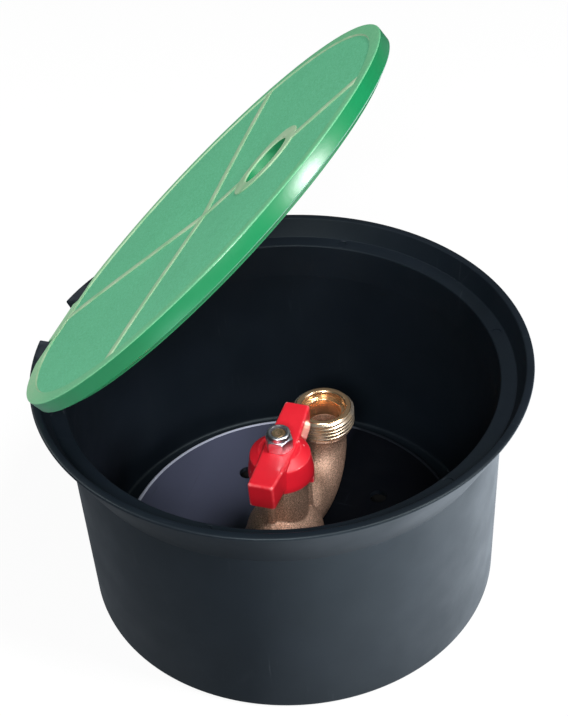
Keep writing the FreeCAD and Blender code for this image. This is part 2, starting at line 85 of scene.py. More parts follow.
def roundOutline(corners, steps=4):
    # corners are (radius, height, rounding); a rounded corner becomes a short arc
    points = []
    count = len(corners)
    for i in range(count):
        here = Vector(corners[i][:2])
        rounding = corners[i][2]
        if rounding == 0:
            points.append(here)
            continue
        toBefore = (Vector(corners[i - 1][:2]) - here).normalized()
        toAfter = (Vector(corners[(i + 1) % count][:2]) - here).normalized()
        half = toBefore.angle(toAfter) / 2
        bisector = (toBefore + toAfter).normalized()
        centre = here + bisector * (rounding / math.sin(half))
        start = here + toBefore * (rounding / math.tan(half)) - centre
        end = here + toAfter * (rounding / math.tan(half)) - centre
        turn = math.copysign(start.angle(end), start.x * end.y - start.y * end.x)
        for k in range(steps + 1):
            angle = turn * k / steps
            c, s = math.cos(angle), math.sin(angle)
            points.append(centre + Vector((start.x * c - start.y * s, start.x * s + start.y * c)))
    return points


def lathe(name, points, segments=96):
    # closed outline of (radius, height) turned about Z; a point on the axis is a pole
    mesh = bmesh.new()
    rings = []
    for radius, height in points:
        if radius < 1e-4:
            rings.append([mesh.verts.new((0, 0, height * mm))])
            continue
        ring = []
        for k in range(segments):
            angle = 2 * math.pi * k / segments
            ring.append(mesh.verts.new((radius * mm * math.cos(angle), radius * mm * math.sin(angle),
                                        height * mm)))
        rings.append(ring)
    for i in range(len(rings)):
        lower, upper = rings[i - 1], rings[i]
        for k in range(segments):
            n = (k + 1) % segments
            corners = [lower[k % len(lower)], lower[n % len(lower)],
                       upper[n % len(upper)], upper[k % len(upper)]]
            corners = list(dict.fromkeys(corners))
            if len(corners) > 2:
                mesh.faces.new(corners)
    bmesh.ops.recalc_face_normals(mesh, faces=mesh.faces)
    return linkMesh(name, mesh)


def block(name, low, high):
    mesh = bmesh.new()
    bmesh.ops.create_cube(mesh, size=1)
    for vert in mesh.verts:
        for axis in range(3):
            vert.co[axis] = (low[axis] if vert.co[axis] < 0 else high[axis]) * mm
    return linkMesh(name, mesh)


def rod(name, radius, start, end, segments=48):
    # cylinder between two points
    start, end = Vector(start) * mm, Vector(end) * mm
    mesh = bmesh.new()
    bmesh.ops.create_cone(mesh, cap_ends=True, segments=segments, radius1=radius * mm,
                          radius2=radius * mm, depth=(end - start).length)
    turn = (end - start).to_track_quat("Z", "Y").to_matrix().to_4x4()
    bmesh.ops.transform(mesh, verts=mesh.verts, matrix=Matrix.Translation((start + end) / 2) @ turn)
    return linkMesh(name, mesh)


def settle(obj):
    # turn the modifiers' result into a plain mesh
    graph = bpy.context.evaluated_depsgraph_get()
    mesh = bpy.data.meshes.new_from_object(obj.evaluated_get(graph))
    old = obj.data
    obj.modifiers.clear()
    obj.data = mesh
    bpy.data.meshes.remove(old)


def combine(obj, others, operation):
    # boolean with each of the others, which are used up
    for other in others:
        modifier = obj.modifiers.new(operation, "BOOLEAN")
        modifier.operation = operation
        modifier.solver = "EXACT"
        modifier.object = other
    settle(obj)
    for other in others:
        bpy.data.objects.remove(other)


def place(obj, matrix):
    obj.data.transform(matrix)
    return obj


def spin(obj, degrees):
    return place(obj, Matrix.Rotation(math.radians(degrees), 4, "Z"))


def soften(obj, angle=32):
    # smooth shading with real edges kept
    obj.data.shade_smooth()
    obj.data.set_sharp_from_angle(angle=math.radians(angle))
    return obj


def bevelEdges(obj, width, segments=2, angle=35):
    modifier = obj.modifiers.new("soft edges", "BEVEL")
    modifier.width = width * mm
    modifier.segments = segments
    modifier.limit_method = "ANGLE"
    modifier.angle_limit = math.radians(angle)
    modifier.use_clamp_overlap = True
    settle(obj)
    return obj


def joinPieces(obj, others):
    # one mesh from several, each face keeping its material
    whole = bmesh.new()
    materials = []
    for piece in [obj] + others:
        slots = []
        for material in piece.data.materials:
            if material not in materials:
                materials.append(material)
            slots.append(materials.index(material))
        before = len(whole.faces)
        whole.from_mesh(piece.data)
        whole.faces.ensure_lookup_table()
        for face in whole.faces[before:]:
            if slots:
                face.material_index = slots[min(face.material_index, len(slots) - 1)]
    obj.data.materials.clear()
    for material in materials:
        obj.data.materials.append(material)
    whole.to_mesh(obj.data)
    whole.free()
    for piece in others:
        bpy.data.objects.remove(piece)
    return obj


def paint(obj, materials, choose):
    # choose gives each face's material from its centre (mm) and normal
    obj.data.materials.clear()
    for material in materials:
        obj.data.materials.append(material)
    for face in obj.data.polygons:
        face.material_index = choose(face.center / mm, face.normal)


def solidCopy(node):
    # a merged copy of a CAD solid, to be finished further
    source = frame["nodes"][node]
    mesh = bmesh.new()
    mesh.from_mesh(source.data)
    bmesh.ops.remove_doubles(mesh, verts=mesh.verts, dist=1e-6)
    return linkMesh(node + "Finished", mesh)


def middleOf(node):
    # the middle of a solid's box, seen from above
    low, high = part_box(node)
    return (low[0] + high[0]) / 2, (low[1] + high[1]) / 2


# Shader helpers

socketKinds = {bool: "NodeSocketBool", int: "NodeSocketInt", float: "NodeSocketFloat",
               tuple: "NodeSocketVector", type(None): "NodeSocketMaterial"}


def addInput(tree, label, value):
    # the value's type gives the socket's kind, and None stands for a material
    socket = tree.interface.new_socket(label, in_out="INPUT", socket_type=socketKinds[type(value)])
    if value is not None:
        socket.default_value = value
    return socket.identifier


def newGroup(name, inputs, outputs):
    group = bpy.data.node_groups.new(name, "ShaderNodeTree")
    for label, value in inputs.items():
        addInput(group, label, value)
    for label in outputs:
        group.interface.new_socket(label, in_out="OUTPUT", socket_type="NodeSocketFloat")
    return group, group.nodes.new("NodeGroupInput"), group.nodes.new("NodeGroupOutput")


def addNode(tree, kind, links=(), **settings):
    # links are (input name or number, value or output socket)
    node = tree.nodes.new(kind)
    for key, value in settings.items():
        setattr(node, key, value)
    for name, value in links:
        if isinstance(value, bpy.types.NodeSocket):
            tree.links.new(value, node.inputs[name])
        else:
            node.inputs[name].default_value = value
    return node


def mathNode(tree, operation, first, second):
    return addNode(tree, "ShaderNodeMath", [(0, first), (1, second)], operation=operation).outputs[0]


def mapRange(tree, value, low, high, newLow=0.0, newHigh=1.0):
    # low to high becomes newLow to newHigh, and holds there beyond the ends
    return addNode(tree, "ShaderNodeMapRange", [
        ("Value", value), ("From Min", low), ("From Max", high), ("To Min", newLow),
        ("To Max", newHigh)]).outputs["Result"]


def objectCoords(tree):
    return addNode(tree, "ShaderNodeTexCoord").outputs["Object"]


def patternScale(tree, size):
    # a texture's scale from a size in millimetres
    return mathNode(tree, "DIVIDE", 1000.0, size)


def noiseValue(tree, vector, scale, detail, rough=0.5):
    return addNode(tree, "ShaderNodeTexNoise", [
        ("Vector", vector), ("Scale", scale), ("Detail", detail), ("Roughness", rough)]).outputs[0]


def grainGroup():
    # fine moulded or cast grain: a height for Bump and a 0 to 1 speckle, which on the cast brass also
    # sets painted glints
    group, given, result = newGroup("surfaceGrain", {"Size": 0.6, "Speckle": 0.5}, ["Height", "Mask"])
    coords = objectCoords(group)
    scale = patternScale(group, given.outputs["Size"])
    cells = addNode(group, "ShaderNodeTexVoronoi", [("Vector", coords), ("Scale", scale)])
    mixed = addNode(group, "ShaderNodeMix", [
        ("Factor", given.outputs["Speckle"]), ("A", noiseValue(group, coords, scale, 3.0, 0.62)),
        ("B", cells.outputs["Distance"])]).outputs["Result"]
    group.links.new(mixed, result.inputs["Height"])
    group.links.new(mapRange(group, mixed, 0.3, 0.7), result.inputs["Mask"])
    return group


def driftGroup():
    # slow change over the surface, for a colour or a gloss that isn't quite even
    group, given, result = newGroup("slowDrift", {"Size": 30.0, "Low": 0.0, "High": 1.0}, ["Value"])
    scale = patternScale(group, given.outputs["Size"])
    noise = noiseValue(group, objectCoords(group), scale, 4.0, 0.55)
    spread = mapRange(group, noise, 0.32, 0.68, given.outputs["Low"], given.outputs["High"])
    group.links.new(spread, result.inputs["Value"])
    return group


def scratchGroup():
    # sparse hair scratches that run in two directions
    group, given, result = newGroup("hairScratches", {"Density": 0.5, "Turn": (0, 0, 0.5)}, ["Mask"])
    coords = objectCoords(group)
    lines = []
    for size in ((40, 1400, 40), (1100, 60, 60)):
        mapping = addNode(group, "ShaderNodeMapping", [
            ("Vector", coords), ("Rotation", given.outputs["Turn"]), ("Scale", size)])
        lines.append(mapRange(group, noiseValue(group, mapping.outputs[0], 1.0, 2.0), 0.66, 0.74))
    patches = mapRange(group, noiseValue(group, coords, 35.0, 1.0), 0.5, 0.7)
    masked = mathNode(group, "MULTIPLY", mathNode(group, "MAXIMUM", *lines), patches)
    masked = mathNode(group, "MULTIPLY", masked, given.outputs["Density"])
    group.links.new(masked, result.inputs["Mask"])
    return group


def wearAndHighlightGroup():
    # convex edges, lighter where handling has rubbed the surface; on the handle this is a painted edge
    # highlight
    group, given, result = newGroup(
        "edgeWearAndHighlight", {"Amount": 0.5, "Break Up": 4.0, "Low": 0.53, "High": 0.62}, ["Mask"])
    geometry = addNode(group, "ShaderNodeNewGeometry")
    edges = mapRange(
        group, geometry.outputs["Pointiness"], given.outputs["Low"], given.outputs["High"])
    scale = patternScale(group, given.outputs["Break Up"])
    noise = noiseValue(group, objectCoords(group), scale, 5.0)
    broken = mathNode(group, "MULTIPLY", edges, mapRange(group, noise, 0.35, 0.65))
    broken = mathNode(group, "MULTIPLY", broken, given.outputs["Amount"])
    group.links.new(broken, result.inputs["Mask"])
    return group


grain = grainGroup()
drift = driftGroup()
scratches = scratchGroup()
edgeWearAndHighlight = wearAndHighlightGroup()


def useGroup(tree, group, **values):
    node = tree.nodes.new("ShaderNodeGroup")
    node.node_tree = group
    for name, value in values.items():
        node.inputs[name.replace("_", " ")].default_value = value
    return node


def blendColour(tree, factor, low, high):
    node = addNode(tree, "ShaderNodeMix", [("Factor", factor)], data_type="RGBA")
    for value, socket in ((low, node.inputs[6]), (high, node.inputs[7])):
        if isinstance(value, bpy.types.NodeSocket):
            tree.links.new(value, socket)
        else:
            socket.default_value = (*value, 1)
    return node.outputs[2]


def makeMaterial(name, look):
    # look is a material's settings; drift, a painted lit end, grain (with painted glints on the cast
    # brass), edge wear (a painted edge highlight on the handle), scratches and a painted shade in
    # reflections are optional
    material = bpy.data.materials.new(name)
    material.use_nodes = True
    tree = material.node_tree
    shader = tree.nodes["Principled BSDF"]
    shader.inputs["Base Color"].default_value = (*look["colour"], 1)
    shader.inputs["Metallic"].default_value = look.get("metal", 0.0)
    shader.inputs["Roughness"].default_value = look["rough"]
    shader.inputs["Specular IOR Level"].default_value = look.get("specular", 0.5)
    shader.inputs["Specular Tint"].default_value = (*look.get("specularTint", (1, 1, 1)), 1)
    shader.inputs["Coat Weight"].default_value = look.get("coat", 0.0)
    shader.inputs["Coat Roughness"].default_value = look.get("coatRough", 0.1)
    material.diffuse_color = (*look["colour"], 1)
    colour = look["colour"]
    if "driftColour" in look:
        node = useGroup(tree, drift, Size=look["driftSize"])
        colour = blendColour(tree, node.outputs["Value"], colour, look["driftColour"])
    # painted light: the colour pales towards one end along X, as a painted pool of light, sheen or
    # highlight
    if "paintedLightColour" in look:
        split = addNode(tree, "ShaderNodeSeparateXYZ", [(0, objectCoords(tree))])
        share = mapRange(tree, split.outputs[0], look["paintedLightEnd"] * mm, look["paintedLightStart"] * mm)
        colour = blendColour(tree, share, colour, look["paintedLightColour"])
    if "grainSize" in look:
        node = useGroup(tree, grain, Size=look["grainSize"], Speckle=look.get("speckle", 0.4))
        bump = addNode(tree, "ShaderNodeBump", [
            ("Strength", look["grainStrength"]), ("Distance", look["grainDepth"] * mm),
            ("Height", node.outputs["Height"])])
        tree.links.new(bump.outputs["Normal"], shader.inputs["Normal"])
        # grain tone, and on the cast brass painted glints
        if "grainAndGlintColour" in look:
            colour = blendColour(tree, node.outputs["Mask"], colour, look["grainAndGlintColour"])
    # edges made lighter: wear on the box, a painted highlight on the handle
    if "wearAndHighlightColour" in look:
        node = useGroup(tree, edgeWearAndHighlight, Amount=look["wearAndHighlight"], Break_Up=look.get("wearAndHighlightBreak", 4.0),
                        Low=look.get("wearAndHighlightLow", 0.53), High=look.get("wearAndHighlightHigh", 0.62))
        colour = blendColour(tree, node.outputs["Mask"], colour, look["wearAndHighlightColour"])
    if "scratchColour" in look:
        node = useGroup(tree, scratches, Density=look["scratch"])
        colour = blendColour(tree, node.outputs["Mask"], colour, look["scratchColour"])
    if "paintedReflectionShade" in look:
        # painted shade: darker where another surface mirrors it
        rays = addNode(tree, "ShaderNodeLightPath")
        dimmed = tuple(value * look["paintedReflectionShade"] for value in look["colour"])
        colour = blendColour(tree, rays.outputs["Is Glossy Ray"], colour, dimmed)
    if isinstance(colour, bpy.types.NodeSocket):
        tree.links.new(colour, shader.inputs["Base Color"])
    if "roughHigh" in look:
        node = useGroup(tree, drift, Size=look.get("roughSize", 18.0), Low=look["rough"],
                        High=look["roughHigh"])
        tree.links.new(node.outputs["Value"], shader.inputs["Roughness"])
    return material


boxLook = {"colour": (0.0035, 0.0058, 0.009), "rough": 0.4, "roughHigh": 0.5, "roughSize": 26.0,
           "specular": 0.28, "specularTint": (0.8, 0.96, 1.0),
           "driftColour": (0.005, 0.0078, 0.0125), "driftSize": 40.0,
           "grainSize": 0.7, "grainStrength": 0.3, "grainDepth": 0.04,
           "wearAndHighlightColour": (0.04, 0.046, 0.056), "wearAndHighlight": 0.5, "scratchColour": (0.03, 0.036, 0.045),
           "scratch": 0.3}
boxUnderLook = {"colour": (0.0045, 0.007, 0.011), "rough": 0.45, "roughHigh": 0.56, "roughSize": 24.0,
                "specular": 0.22, "driftColour": (0.007, 0.0095, 0.014), "driftSize": 30.0,
                "grainSize": 0.7, "grainStrength": 0.3, "grainDepth": 0.04}
# the floor's top is painted paler and bluer towards -X: a painted pool of light on its left half
boxFloorLook = {"colour": (0.0015, 0.002, 0.0035), "rough": 0.34, "roughHigh": 0.46, "roughSize": 20.0,
                "specular": 0.16, "driftColour": (0.001, 0.0015, 0.003), "driftSize": 24.0,
                "paintedLightColour": (0.07, 0.076, 0.12), "paintedLightStart": -50.0, "paintedLightEnd": 10.0,
                "grainSize": 0.9, "grainStrength": 0.3, "grainDepth": 0.05,
                "scratchColour": (0.03, 0.034, 0.045), "scratch": 0.3}
# the floor's rounded edge is painted much paler towards -X: a painted highlight line along its left
# arc
boxFloorEdgeHighlightLook = {"colour": (0.008, 0.01, 0.014), "rough": 0.34, "roughHigh": 0.42,
                    "driftColour": (0.006, 0.008, 0.012), "driftSize": 14.0,
                    "paintedLightColour": (0.5, 0.52, 0.64), "paintedLightStart": -40.0, "paintedLightEnd": 12.0}
lidFieldLook = {"colour": (0.055, 0.31, 0.145), "rough": 0.55, "roughHigh": 0.65, "specular": 0.3,
                "driftColour": (0.065, 0.335, 0.16), "driftSize": 22.0, "grainSize": 0.8,
                "grainStrength": 0.6, "grainDepth": 0.1, "grainAndGlintColour": (0.12, 0.45, 0.26),
                "speckle": 0.3}
# the border pales towards the hinge end: a painted sheen
lidRaisedLook = {"colour": (0.08, 0.33, 0.165), "rough": 0.52, "roughHigh": 0.62, "specular": 0.3,
                 "driftColour": (0.09, 0.34, 0.17), "driftSize": 26.0, "paintedLightColour": (0.34, 0.5, 0.31),
                 "paintedLightStart": -92.0, "paintedLightEnd": -56.0, "grainSize": 0.8, "grainStrength": 0.45,
                 "grainDepth": 0.08, "grainAndGlintColour": (0.15, 0.42, 0.22), "speckle": 0.3}
lidPaleLook = {"colour": (0.33, 0.46, 0.3), "rough": 0.5, "roughHigh": 0.6, "specular": 0.3,
               "driftColour": (0.2, 0.4, 0.22), "driftSize": 9.0, "grainSize": 0.8,
               "grainStrength": 0.35, "grainDepth": 0.06}
lidSideLook = {"colour": (0.0, 0.155, 0.048), "rough": 0.28, "roughHigh": 0.34, "roughSize": 30.0,
               "specular": 0.9, "driftColour": (0.0, 0.18, 0.06), "driftSize": 45.0,
               "grainSize": 0.8, "grainStrength": 0.2, "grainDepth": 0.04}
# its colour is painted darker in reflections, a painted shade
lidUnderLook = {"colour": (0.0, 0.15, 0.046), "paintedReflectionShade": 0.15, "rough": 0.45,
                "roughHigh": 0.55, "roughSize": 30.0, "driftColour": (0.0, 0.17, 0.055),
                "driftSize": 30.0, "grainSize": 0.9, "grainStrength": 0.3, "grainDepth": 0.05}
# the cast brass's pale speckle is partly its sandy grain and partly painted glints
castLook = {"colour": (0.16, 0.074, 0.045), "metal": 0.66, "rough": 0.42, "roughHigh": 0.54,
            "driftColour": (0.24, 0.118, 0.074), "driftSize": 9.0, "grainSize": 0.5,
            "grainStrength": 1.0, "grainDepth": 0.38, "grainAndGlintColour": (0.95, 0.64, 0.48),
            "speckle": 0.35}
turnedLook = {"colour": (0.96, 0.68, 0.43), "metal": 0.95, "rough": 0.18, "roughHigh": 0.28,
              "roughSize": 6.0, "driftColour": (0.9, 0.56, 0.3), "driftSize": 8.0, "grainSize": 0.5,
              "grainStrength": 0.2, "grainDepth": 0.02}
handleLook = {"colour": (0.6, 0.01, 0.022), "rough": 0.36, "roughHigh": 0.44, "roughSize": 9.0,
              "driftColour": (0.53, 0.009, 0.02), "driftSize": 12.0, "grainSize": 1.6,
              "grainStrength": 0.2, "grainDepth": 0.05, "coat": 0.25, "coatRough": 0.08,
              # the handle's pale pink edges are a painted highlight
              "wearAndHighlightColour": (1.0, 0.5, 0.5), "wearAndHighlight": 0.7, "wearAndHighlightBreak": 2.0, "wearAndHighlightLow": 0.512,
              "wearAndHighlightHigh": 0.545}
# paler than the turned brass, a painted highlight on the thread's ridge
threadLook = {"colour": (1.0, 0.86, 0.72), "metal": 0.9, "rough": 0.2, "roughHigh": 0.28,
              "roughSize": 4.0, "driftColour": (0.98, 0.74, 0.5), "driftSize": 6.0}
zincLook = {"colour": (0.8, 0.82, 0.87), "metal": 1.0, "rough": 0.28, "roughHigh": 0.38,
            "roughSize": 3.0}
steelLook = {"colour": (0.55, 0.55, 0.57), "metal": 1.0, "rough": 0.26, "roughHigh": 0.4,
             "roughSize": 2.5}
nylonLook = {"colour": (0.04, 0.042, 0.05), "rough": 0.35, "driftColour": (0.055, 0.058, 0.066),
             "driftSize": 2.0}
rubberLook = {"colour": (0.015, 0.015, 0.016), "rough": 0.6, "roughHigh": 0.72, "grainSize": 0.5,
              "grainStrength": 0.3, "grainDepth": 0.03}
seatLook = {"colour": (0.75, 0.75, 0.72), "rough": 0.4, "driftColour": (0.69, 0.69, 0.65),
            "driftSize": 3.0}
chromeLook = {"colour": (0.8, 0.8, 0.82), "metal": 1.0, "rough": 0.06, "roughHigh": 0.1,
              "roughSize": 4.0}

boxPlastic = makeMaterial("boxPlastic", boxLook)
boxUnder = makeMaterial("boxUnder", boxUnderLook)
boxFloor = makeMaterial("boxFloor", boxFloorLook)
boxFloorEdgeHighlight = makeMaterial("boxFloorEdgeHighlight", boxFloorEdgeHighlightLook)
lidField = makeMaterial("lidField", lidFieldLook)
lidRaised = makeMaterial("lidRaised", lidRaisedLook)
lidPale = makeMaterial("lidPale", lidPaleLook)
lidSide = makeMaterial("lidSide", lidSideLook)
lidUnder = makeMaterial("lidUnder", lidUnderLook)
castBrass = makeMaterial("castBrass", castLook)
turnedBrass = makeMaterial("turnedBrass", turnedLook)
threadBrass = makeMaterial("threadBrass", threadLook)
redPaint = makeMaterial("redPaint", handleLook)
zinc = makeMaterial("zinc", zincLook)
pinSteel = makeMaterial("pinSteel", steelLook)
nylon = makeMaterial("nylon", nylonLook)
rubber = makeMaterial("rubber", rubberLook)
seatPlastic = makeMaterial("seatPlastic", seatLook)
chrome = makeMaterial("chrome", chromeLook)
print("materials made")


# Geometry Nodes helpers

def newNodesTree(name, inputs):
    tree = bpy.data.node_groups.new(name, "GeometryNodeTree")
    tree.interface.new_socket("Geometry", in_out="INPUT", socket_type="NodeSocketGeometry")
    identifiers = {label: addInput(tree, label, value) for label, value in inputs.items()}
    tree.interface.new_socket("Geometry", in_out="OUTPUT", socket_type="NodeSocketGeometry")
    return tree, tree.nodes.new("NodeGroupInput"), identifiers


def endTree(tree, geometry, material):
    # every tree ends the same way: real geometry with its material
    realized = addNode(tree, "GeometryNodeRealizeInstances", [("Geometry", geometry)])
    painted = addNode(tree, "GeometryNodeSetMaterial", [
        ("Geometry", realized.outputs[0]), ("Material", material)])
    output = tree.nodes.new("NodeGroupOutput")
    tree.links.new(painted.outputs[0], output.inputs[0])


def grow(name, tree, identifiers, values):
    # run a tree on an empty mesh and keep the result as a plain mesh
    obj = link(name, bpy.data.meshes.new(name))
    modifier = obj.modifiers.new(name, "NODES")
    modifier.node_group = tree
    for label, value in values.items():
        modifier[identifiers[label]] = value
    settle(obj)
    return obj


def roundArrayTree():
    # one upright post, or one spoke, set out at equal steps about Z
    tree, given, identifiers = newNodesTree("roundArray", {
        "Count": 6, "Circle": 0.04, "Start": 0.0, "Size": (0.01, 0.01, 0.01), "Round": True,
        "Level": 0.0, "Material": None})
    circle = addNode(tree, "GeometryNodeMeshCircle", [
        ("Vertices", given.outputs["Count"]), ("Radius", given.outputs["Circle"])])
    post = addNode(tree, "GeometryNodeMeshCylinder", [
        ("Vertices", 40), ("Radius", 0.5), ("Depth", 1.0)])
    bar = addNode(tree, "GeometryNodeMeshCube", [("Size", (1, 1, 1))])
    shape = addNode(tree, "GeometryNodeSwitch", [
        ("Switch", given.outputs["Round"]), ("False", bar.outputs[0]), ("True", post.outputs[0])],
        input_type="GEOMETRY")
    position = addNode(tree, "GeometryNodeInputPosition")
    split = addNode(tree, "ShaderNodeSeparateXYZ", [(0, position.outputs[0])])
    heading = mathNode(tree, "ARCTAN2", split.outputs[1], split.outputs[0])
    turn = addNode(tree, "ShaderNodeCombineXYZ", [(2, heading)])
    rotation = addNode(tree, "FunctionNodeEulerToRotation", [(0, turn.outputs[0])])
    instances = addNode(tree, "GeometryNodeInstanceOnPoints", [
        ("Points", circle.outputs[0]), ("Instance", shape.outputs[0]),
        ("Rotation", rotation.outputs[0]), ("Scale", given.outputs["Size"])])
    start = addNode(tree, "ShaderNodeCombineXYZ", [(2, given.outputs["Start"])])
    level = addNode(tree, "ShaderNodeCombineXYZ", [(2, given.outputs["Level"])])
    turned = addNode(tree, "GeometryNodeTransform", [
        ("Geometry", instances.outputs[0]), ("Translation", level.outputs[0]),
        ("Rotation", start.outputs[0])])
    endTree(tree, turned.outputs[0], given.outputs["Material"])
    return tree, identifiers


def threadTree():
    # a screw thread's ridge, swept along a helix
    tree, given, identifiers = newNodesTree("screwThread", {
        "Turns": 5.0, "Pitch": 0.0018, "Radius": 0.012, "Depth": 0.001, "Foot": 0.0017,
        "Crest": 0.0004, "Steps": 72, "Bottom": 0.05, "Material": None})
    rise = mathNode(tree, "MULTIPLY", given.outputs["Turns"], given.outputs["Pitch"])
    helix = addNode(tree, "GeometryNodeCurveSpiral", [
        ("Resolution", given.outputs["Steps"]), ("Rotations", given.outputs["Turns"]),
        ("Start Radius", given.outputs["Radius"]), ("End Radius", given.outputs["Radius"]),
        ("Height", rise), ("Reverse", True)])
    upright = addNode(tree, "GeometryNodeSetCurveNormal", [("Curve", helix.outputs[0])], mode="Z_UP")
    # the ridge fades out over the first and the last 7 % of its length
    along = addNode(tree, "GeometryNodeSplineParameter").outputs["Factor"]
    fade = mathNode(tree, "MINIMUM", mapRange(tree, along, 0.0, 0.07, 0.05, 1.0),
                    mapRange(tree, along, 0.93, 1.0, 1.0, 0.05))
    halfFoot = mathNode(tree, "MULTIPLY", given.outputs["Foot"], 0.5)
    halfCrest = mathNode(tree, "MULTIPLY", given.outputs["Crest"], 0.5)
    corners = []
    for side, half, out in (
            (-1, halfFoot, 0), (-1, halfCrest, 1), (1, halfCrest, 1), (1, halfFoot, 0)):
        across = mathNode(tree, "MULTIPLY", half, side)
        outward = mathNode(tree, "MULTIPLY", given.outputs["Depth"], out)
        corners.append(addNode(tree, "ShaderNodeCombineXYZ", [(0, outward), (1, across)]))
    profile = addNode(tree, "GeometryNodeCurvePrimitiveQuadrilateral", [
        ("Point %d" % (i + 1), corners[i].outputs[0]) for i in range(4)], mode="POINTS")
    swept = addNode(tree, "GeometryNodeCurveToMesh", [
        ("Curve", upright.outputs[0]), ("Profile Curve", profile.outputs[0]), ("Fill Caps", True),
        ("Scale", fade)])
    lift = addNode(tree, "ShaderNodeCombineXYZ", [(2, given.outputs["Bottom"])])
    raised = addNode(tree, "GeometryNodeTransform", [
        ("Geometry", swept.outputs[0]), ("Translation", lift.outputs[0])])
    endTree(tree, raised.outputs[0], given.outputs["Material"])
    return tree, identifiers


roundArray, roundArrayInputs = roundArrayTree()
screwThread, screwThreadInputs = threadTree()
print("node trees made")


def arrayOf(name, count, circle, start, size, isRound, level, material):
    return grow(name, roundArray, roundArrayInputs, {
        "Count": count, "Circle": circle * mm, "Start": math.radians(start),
        "Size": [value * mm for value in size], "Round": isRound, "Level": level * mm,
        "Material": material})


# Box

boxSettings = {
    "height": 110.0, "rimRadius": 100.0, "rimLip": 3.7, "recessDepth": 8.0, "ledgeWidth": 6.5,
    "neckDrop": 23.5, "neckRadius": 88.0, "footRadius": 86.5, "wall": 2.8, "softEdge": 0.8,
    "floorLevel": 10.0, "floorRadius": 74.0, "floorBead": 1.9, "floorThick": 2.5, "gutterThick": 3.0,
    "hubRadius": 8.0, "footRibs": 3, "ribWidth": 2.0, "ribFoot": 0.5, "inletRadius": 13.62,
    "drains": 4, "drainRadius": 3.8, "drainCircle": 43.5, "drainStart": 45.0,
    "marks": 6, "markRadius": 2.0, "markDepth": 0.3, "markStart": 30.0, "segments": 288}
hingeSettings = {
    "x": -93.2, "z": 107.2, "pinRadius": 1.25, "earStart": 13.6, "earEnd": 24.0, "earInner": -90.7,
    "notchGap": 4.3}


def makeBox(s, h):
    slope = (s["rimRadius"] - s["neckRadius"]) / s["neckDrop"]
    top = s["height"]
    ledge = top - s["recessDepth"]
    neck = top - s["neckDrop"]
    recessFoot = s["rimRadius"] - slope * s["recessDepth"] - s["wall"]
    ledgeRadius = recessFoot - s["ledgeWidth"]
    under = s["floorLevel"] - s["floorThick"]
    underRadius = s["floorRadius"] - s["floorThick"]
    outline = roundOutline([
        (0, under, 0), (underRadius, under, 0.8), (underRadius, 0, 0.6), (s["footRadius"], 0, 2.0),
        (s["neckRadius"], neck, 0.6), (s["rimRadius"], top, s["softEdge"]),
        (s["rimRadius"] - s["rimLip"], top, s["softEdge"]), (recessFoot, ledge, 0.5),
        (ledgeRadius, ledge, s["softEdge"]), (s["neckRadius"] - s["wall"], neck, 2.0),
        (s["footRadius"] - s["wall"], s["gutterThick"], 1.5),
        (s["floorRadius"] + 1, s["gutterThick"], 1.0), (s["floorRadius"], s["floorLevel"], 1.2),
        (s["floorRadius"] - s["floorBead"], s["floorLevel"], 0), (0, s["floorLevel"], 0)])
    shell = lathe("boxShell", outline, s["segments"])
    flare = lathe("flareBlank", roundOutline([
        (0, neck, 0), (s["neckRadius"], neck, 0), (s["rimRadius"], top, s["softEdge"]), (0, top, 0)]),
        s["segments"])
    ears = block("ears", (-s["rimRadius"], -h["earEnd"], ledge - overlap),
                 (h["earInner"], h["earEnd"], top))
    combine(ears, [flare], "INTERSECT")
    hub = rod("hub", s["hubRadius"], (0, 0, 0), (0, 0, under + overlap))
    ribs = []
    for i in range(s["footRibs"]):
        rib = block("footRib", (s["hubRadius"] - 1, -s["ribWidth"] / 2, s["ribFoot"]),
                    (underRadius + overlap, s["ribWidth"] / 2, under + overlap))
        ribs.append(spin(rib, 90 * i))
    combine(shell, [ears, hub] + ribs, "UNION")
    notch = block("notch", (-s["rimRadius"] - past, -h["earStart"], h["z"] - h["notchGap"]),
                  (-ledgeRadius, h["earStart"], top + past))
    pinBore = rod("pinBore", h["pinRadius"], (h["x"], -h["earEnd"] - past, h["z"]),
                  (h["x"], h["earEnd"] + past, h["z"]))
    drains = arrayOf("drains", s["drains"], s["drainCircle"], s["drainStart"],
                     (2 * s["drainRadius"], 2 * s["drainRadius"], 2 * s["floorLevel"]), True,
                     s["floorLevel"] / 2, boxPlastic)
    marks = arrayOf("ejectorMarks", s["marks"], ledgeRadius + s["ledgeWidth"] / 2, s["markStart"],
                    (2 * s["markRadius"], 2 * s["markRadius"], 2 * past), True,
                    ledge - s["markDepth"] + past, boxPlastic)
    x, y = [value / mm for value in middleOf("floor_gasket")]
    inlet = rod("inletHole", s["inletRadius"], (x, y, -past), (x, y, 2 * s["floorLevel"]))
    combine(shell, [notch, pinBore, drains, marks, inlet], "DIFFERENCE")

    def chooseFinish(centre, normal):
        # 0 shell, 1 the floor's top, 2 its rounded edge, which carries a painted highlight, 3
        # underneath
        reach = math.hypot(centre.x, centre.y)
        if reach < underRadius + 0.1 and centre.z < under + 0.3:
            return 3
        if reach > s["floorRadius"] + 0.1 or centre.z < s["gutterThick"] + 0.5 or normal.z < 0.05:
            return 0
        if centre.z > s["floorLevel"] + 0.5:
            return 0
        return 1 if reach < s["floorRadius"] - s["floorBead"] else 2

    paint(shell, [boxPlastic, boxFloor, boxFloorEdgeHighlight, boxUnder], chooseFinish)
    return soften(shell)


box = makeBox(boxSettings, hingeSettings)
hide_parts("box")
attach(box, "box_body")
print("box:", len(box.data.polygons), "faces")


# Lid, modelled shut and then opened about the hinge

